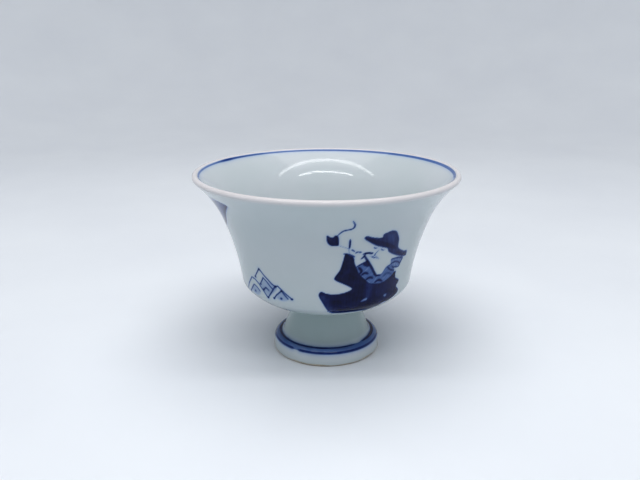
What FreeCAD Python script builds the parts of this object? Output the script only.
import FreeCAD, Part

import math
import os

import Sketcher

# A stem teacup in porcelain: a thrown bowl with a turned-out lip, luted with slip onto a
# hollow stem foot, with one cobalt line inside the lip and two on the shoulder of the foot.
# Millimetres. +Z is the axis of the cup, and z = 0 is the face of the foot ring.

# How a sketch numbers the points of a line or an arc.
START, END, CENTRE = 1, 2, 3

# Driving dimensions. Radii from the axis end in _radius, and heights above the table in _level.
DIMENSIONS = {
    # bowl, outside
    "rim_radius": 42.5,
    "rim_level": 61.15,
    "lip_round": 0.95,
    "waist_radius": 33.58,
    "waist_level": 47.0,
    "heel_radius": 28.1,
    "heel_level": 26.3,
    "heel_round": 5.0,
    "underside_round": 18.9,
    "boss_radius": 13.2,
    "boss_level": 17.8,
    # bowl, inside: a short straight slope under the lip carries the cobalt line
    "slope_level": 59.8,
    "inner_waist_radius": 31.43,
    "inner_heel_radius": 26.2,
    "inner_heel_level": 29.0,
    "inner_heel_round": 8.0,
    "floor_round": 112.0,
    "floor_level": 20.9,
    # luting slip between the bowl and the stem
    "slip_thickness": 0.4,
    "slip_round": 1.6,
    # stem foot
    "neck_radius": 11.1,
    "neck_level": 15.6,
    "flare_round": 1.2,
    "shoulder_radius": 15.65,
    "shoulder_level": 5.5,
    "shoulder_round": 2.1,
    "foot_radius": 17.9,
    "foot_wall": 2.6,
    "hollow_round": 1.0,
    "hollow_level": 14.4,
    "ring_inner_radius": 15.1,
    "ring_bevel": 0.4,
    # cobalt lines: each fills a shallow groove, cut by a square ring that stands on its corner
    "line_half_width": 0.73,
    "rim_line_radius": 40.26,
    "rim_line_level": 60.64,
    "upper_line_radius": 15.75,
    "upper_line_level": 5.78,
    "lower_line_radius": 17.59,
    "lower_line_level": 4.7,
}

doc = FreeCAD.newDocument("stem_teacup")
sheet = doc.addObject("Spreadsheet::Sheet", "Dimensions")
for row, (word, number) in enumerate(DIMENSIONS.items(), start=1):
    sheet.set(f"A{row}", word)
    sheet.set(f"B{row}", str(number))
    sheet.setAlias(f"B{row}", word)
doc.recompute()


def new_body(name):
    """A body and a sketch on its own XZ plane: sketch X is the radius and sketch Y the height."""
    body = doc.addObject("PartDesign::Body", name)
    plane = next(f for f in body.Origin.OriginFeatures if f.Role == "XZ_Plane")
    sketch = body.newObject("Sketcher::SketchObject", name + "_section")
    sketch.AttachmentSupport = (plane, "")
    sketch.MapMode = "FlatFace"
    return body, sketch


def revolve(body, sketch):
    """The section turned once round the cup's axis."""
    turned = body.newObject("PartDesign::Revolution", body.Name + "_turned")
    turned.Profile = sketch
    turned.ReferenceAxis = (sketch, ["V_Axis"])
    turned.Angle = 360
    sketch.Visibility = False
    doc.recompute()


class Section:
    """A closed outline drawn in one pass, from each point to the next, and then constrained."""

    def __init__(self, sketch, start):
        self.sketch = sketch
        self.first = FreeCAD.Vector(*start, 0)
        self.pen = self.first
        self.tail = None
        self.head = None
        self.ends = {}

    def _join(self, geometry, near, far, name, smooth):
        """Adds the geometry and joins its near end to the last one's far end, in line if smooth."""
        index = self.sketch.addGeometry(geometry, False)
        if self.tail is None:
            self.head = (index, near)
        else:
            kind = "Tangent" if smooth else "Coincident"
            self.sketch.addConstraint(Sketcher.Constraint(kind, *self.tail, index, near))
        self.tail = (index, far)
        self.ends[name] = (index, far)

    def line(self, name, target, smooth=False):
        target = FreeCAD.Vector(*target, 0)
        self._join(Part.LineSegment(self.pen, target), START, END, name, smooth)
        self.pen = target

    def arc(self, name, centre, target, left, smooth=True):
        """An arc from the pen to the target that turns left or right about the centre."""
        centre = FreeCAD.Vector(*centre, 0)
        target = FreeCAD.Vector(*target, 0)
        start, end = (self.pen, target) if left else (target, self.pen)
        circle = Part.Circle(centre, FreeCAD.Vector(0, 0, 1), (target - centre).Length)
        angles = [math.atan2(p.y - centre.y, p.x - centre.x) for p in (start, end)]
        near, far = (START, END) if left else (END, START)
        self._join(Part.ArcOfCircle(circle, *angles), near, far, name, smooth)
        self.pen = target

    def close(self, name):
        self.line(name, (self.first.x, self.first.y))
        self.sketch.addConstraint(Sketcher.Constraint("Coincident", *self.tail, *self.head))

    def bind(self, constraint, expression):
        index = self.sketch.addConstraint(constraint)
        self.sketch.renameConstraint(index, f"size_{index}")
        self.sketch.setExpression(f"Constraints.size_{index}", expression)

    def radius(self, name, expression):
        index = self.ends[name][0]
        now = self.sketch.Geometry[index].Radius
        self.bind(Sketcher.Constraint("Radius", index, now), expression)

    def place(self, name, radius=None, level=None, point=None):
        """Sets how far the far end, or the given point, of a piece is from the axis and the table."""
        index, far = self.ends[name]
        point = far if point is None else point
        for kind, expression in (("DistanceX", radius), ("DistanceY", level)):
            if expression is not None:
                spot = self.sketch.getPoint(index, point)
                now = spot.x if kind == "DistanceX" else spot.y
                self.bind(Sketcher.Constraint(kind, -1, 1, index, point, now), expression)

    def on_axis(self, name, point=None):
        index, far = self.ends[name]
        point = far if point is None else point
        self.sketch.addConstraint(Sketcher.Constraint("PointOnObject", index, point, -2))

    def parallel(self, first, second):
        lines = [self.ends[name][0] for name in (first, second)]
        self.sketch.addConstraint(Sketcher.Constraint("Parallel", *lines))

    def straight(self, kind, *names):
        for name in names:
            self.sketch.addConstraint(Sketcher.Constraint(kind, self.ends[name][0]))


def size(word):
    return DIMENSIONS[word]


# ---- bowl blank: the wall is two arcs that meet at the waist, outside and inside ----

# Where two arcs flow into each other, and where such an arc has its centre, follows from the
# sizes in the sheet. These are the first guesses from which the sketch is drawn and solved.
underside_end = (26.3, 23.1)
heel_centre = (23.2, 27.0)
wall_centre = (118.6, 13.4)
flare_centre = (65.1, 34.6)
flare_end = (42.2, 59.5)
lip_end = (40.9, 60.9)
slope_end = (39.8, 59.8)
inner_flare_centre = (65.5, 33.6)
inner_wall_centre = (130.0, 8.7)
inner_heel_centre = (18.35, 30.5)
inner_heel_end = (19.8, 22.6)

underside_centre = (size("boss_radius"), size("boss_level") + size("underside_round"))
lip_centre = (size("rim_radius") - size("lip_round"), size("rim_level") - size("lip_round"))
waist = (size("waist_radius"), size("waist_level"))
heel = (size("heel_radius"), size("heel_level"))
inner_waist = (size("inner_waist_radius"), size("waist_level"))
inner_heel = (size("inner_heel_radius"), size("inner_heel_level"))
floor_centre = (0, size("floor_level") + size("floor_round"))

bowl_blank, section = new_body("bowl_blank")
bowl = Section(section, (0, size("boss_level")))
bowl.line("boss", (size("boss_radius"), size("boss_level")))
bowl.arc("underside", underside_centre, underside_end, left=True)
bowl.arc("heel", heel_centre, heel, left=True)
bowl.arc("wall", wall_centre, waist, left=False)
bowl.arc("flare", flare_centre, flare_end, left=False)
bowl.arc("lip", lip_centre, lip_end, left=True)
bowl.line("slope", slope_end, smooth=True)
bowl.arc("inner_flare", inner_flare_centre, inner_waist, left=True)
bowl.arc("inner_wall", inner_wall_centre, inner_heel, left=True)
bowl.arc("inner_heel", inner_heel_centre, inner_heel_end, left=False)
bowl.arc("floor", floor_centre, (0, size("floor_level")), left=False)
bowl.close("axis")

bowl.straight("Horizontal", "boss")
bowl.on_axis("axis")
bowl.on_axis("floor")
bowl.on_axis("floor", CENTRE)
bowl.place("boss", "Dimensions.boss_radius", "Dimensions.boss_level")
bowl.radius("underside", "Dimensions.underside_round")
bowl.radius("heel", "Dimensions.heel_round")
bowl.place("heel", "Dimensions.heel_radius", "Dimensions.heel_level")
bowl.place("wall", "Dimensions.waist_radius", "Dimensions.waist_level")
bowl.radius("lip", "Dimensions.lip_round")
bowl.place(
    "lip",
    "Dimensions.rim_radius - Dimensions.lip_round",
    "Dimensions.rim_level - Dimensions.lip_round",
    CENTRE,
)
bowl.place("slope", level="Dimensions.slope_level")
bowl.place("inner_flare", "Dimensions.inner_waist_radius", "Dimensions.waist_level")
bowl.place("inner_wall", "Dimensions.inner_heel_radius", "Dimensions.inner_heel_level")
bowl.radius("inner_heel", "Dimensions.inner_heel_round")
bowl.radius("floor", "Dimensions.floor_round")
bowl.place("floor", level="Dimensions.floor_level")
revolve(bowl_blank, section)


# ---- stem foot blank: a short neck, a cone that flares into the shoulder, hollow underneath ----

stem_top = size("boss_level") - size("slip_thickness")
flare_level = size("shoulder_level") + size("flare_round")
flare_foot = size("shoulder_radius")
side_radius = flare_foot + size("shoulder_round")
shoulder_foot = size("shoulder_level") - size("shoulder_round")
cone_foot = (14.5, 6.3)
bore_foot = (12.1, 5.4)
bore_head = (9.1, 13.8)
bore_end_centre = (8.2, 13.4)
ceiling_level = size("shoulder_level") - size("foot_wall")
corner_level = ceiling_level - size("hollow_round")
ring_outer_radius = size("foot_radius") - size("ring_bevel")

stem_blank, section = new_body("stem_blank")
stem = Section(section, (0, stem_top))
stem.line("top", (size("neck_radius"), stem_top))
stem.line("neck", (size("neck_radius"), size("neck_level")))
stem.line("cone", cone_foot)
stem.arc("flare", (flare_foot, flare_level), (flare_foot, size("shoulder_level")), left=True)
stem.arc("shoulder", (flare_foot, shoulder_foot), (side_radius, shoulder_foot), left=False)
stem.line("side", (size("foot_radius"), size("ring_bevel")), smooth=True)
stem.line("outer_bevel", (ring_outer_radius, 0))
stem.line("ring", (size("ring_inner_radius") + size("ring_bevel"), 0))
stem.line("inner_bevel", (size("ring_inner_radius"), size("ring_bevel")))
stem.line("ring_inside", (size("ring_inner_radius"), corner_level))
stem.arc(
    "corner",
    (size("ring_inner_radius") - size("hollow_round"), corner_level),
    (size("ring_inner_radius") - size("hollow_round"), ceiling_level),
    left=True,
)
stem.arc("hollow", (flare_foot, flare_level), bore_foot, left=False)
stem.line("bore", bore_head, smooth=True)
stem.arc("bore_end", bore_end_centre, (bore_end_centre[0], size("hollow_level")), left=True)
stem.line("ceiling", (0, size("hollow_level")), smooth=True)
stem.close("axis")

stem.straight("Horizontal", "top", "ring")
stem.straight("Vertical", "neck", "ring_inside")
stem.on_axis("axis")
stem.on_axis("ceiling")
stem.place("top", "Dimensions.neck_radius", "Dimensions.boss_level - Dimensions.slip_thickness")
stem.place("neck", level="Dimensions.neck_level")
stem.radius("flare", "Dimensions.flare_round")
stem.place("flare", "Dimensions.shoulder_radius", "Dimensions.shoulder_level")
stem.place("flare", "Dimensions.shoulder_radius", point=CENTRE)
stem.radius("shoulder", "Dimensions.shoulder_round")
stem.place("side", "Dimensions.foot_radius", "Dimensions.ring_bevel")
stem.place("outer_bevel", "Dimensions.foot_radius - Dimensions.ring_bevel", "0")
stem.place("ring", "Dimensions.ring_inner_radius + Dimensions.ring_bevel")
stem.place("inner_bevel", "Dimensions.ring_inner_radius", "Dimensions.ring_bevel")
stem.radius("corner", "Dimensions.hollow_round")
stem.radius("hollow", "Dimensions.flare_round + Dimensions.foot_wall")
stem.place(
    "hollow",
    "Dimensions.shoulder_radius",
    "Dimensions.shoulder_level + Dimensions.flare_round",
    CENTRE,
)
stem.parallel("cone", "bore")
stem.radius("bore_end", "Dimensions.hollow_round")
stem.place("ceiling", level="Dimensions.hollow_level")
stem.straight("Horizontal", "ceiling")
revolve(stem_blank, section)


# ---- luting slip: a film between the bowl and the stem, sponged round into a fillet ----

luting_slip, section = new_body("luting_slip")
fillet_radius = size("neck_radius") + size("slip_round")
fillet_level = size("boss_level") - size("slip_round")
slip = Section(section, (0, stem_top))
slip.line("film", (size("neck_radius"), stem_top))
slip.line("neck", (size("neck_radius"), fillet_level))
slip.arc("fillet", (fillet_radius, fillet_level), (fillet_radius, size("boss_level")), left=False)
slip.line("boss", (0, size("boss_level")), smooth=True)
slip.close("axis")

slip.straight("Horizontal", "film", "boss")
slip.straight("Vertical", "neck")
slip.on_axis("boss")
slip.on_axis("axis")
slip.place("film", "Dimensions.neck_radius", "Dimensions.boss_level - Dimensions.slip_thickness")
slip.place("fillet", level="Dimensions.boss_level")
slip.radius("fillet", "Dimensions.slip_round")
revolve(luting_slip, section)


# ---- cobalt lines: where a square ring cuts the clay, the cobalt fills the groove ----

def line_cutter(name):
    """The square ring, standing on its corner, whose cut is the line of that name."""
    cutter, section = new_body(name + "_cutter")
    radius = size(name + "_radius")
    level = size(name + "_level")
    half = size("line_half_width")
    ring = Section(section, (radius + half, level))
    ring.line("upper_outside", (radius, level + half))
    ring.line("upper_inside", (radius - half, level))
    ring.line("lower_inside", (radius, level - half))
    ring.close("lower_outside")

    across = f"Dimensions.{name}_radius"
    up = f"Dimensions.{name}_level"
    reach = "Dimensions.line_half_width"
    ring.place("upper_outside", across, f"{up} + {reach}")
    ring.place("upper_inside", f"{across} - {reach}", up)
    ring.place("lower_inside", across, f"{up} - {reach}")
    ring.place("lower_outside", f"{across} + {reach}", up)
    revolve(cutter, section)
    return cutter


def boolean(kind, name, base, tool):
    result = doc.addObject(kind, name)
    result.Base = base
    result.Tool = tool
    return result


rim_cutter = line_cutter("rim_line")
upper_cutter = line_cutter("upper_line")
lower_cutter = line_cutter("lower_line")

pieces = [
    boolean("Part::Cut", "bowl", bowl_blank, rim_cutter),
    boolean("Part::Common", "rim_line", bowl_blank, rim_cutter),
    boolean("Part::Common", "foot_line_upper", stem_blank, upper_cutter),
    boolean("Part::Common", "foot_line_lower", stem_blank, lower_cutter),
    luting_slip,
]
stem_with_groove = boolean("Part::Cut", "stem_with_groove", stem_blank, upper_cutter)
pieces.append(boolean("Part::Cut", "stem_foot", stem_with_groove, lower_cutter))
doc.recompute()


# ---- checks and export ----

for item in doc.Objects:
    if "Invalid" in item.State or "Error" in item.State:
        raise RuntimeError(f"{item.Name} did not compute: {item.State}")

os.makedirs("parts", exist_ok=True)
for piece in pieces:
    shape = piece.Shape
    if shape.isNull() or not shape.isValid() or len(shape.Solids) != 1:
        raise RuntimeError(f"{piece.Label} is not one valid solid")
    shape.exportStep(f"parts/{piece.Label}.step")
    print(f"{piece.Label}: {shape.Volume:.1f} mm3")
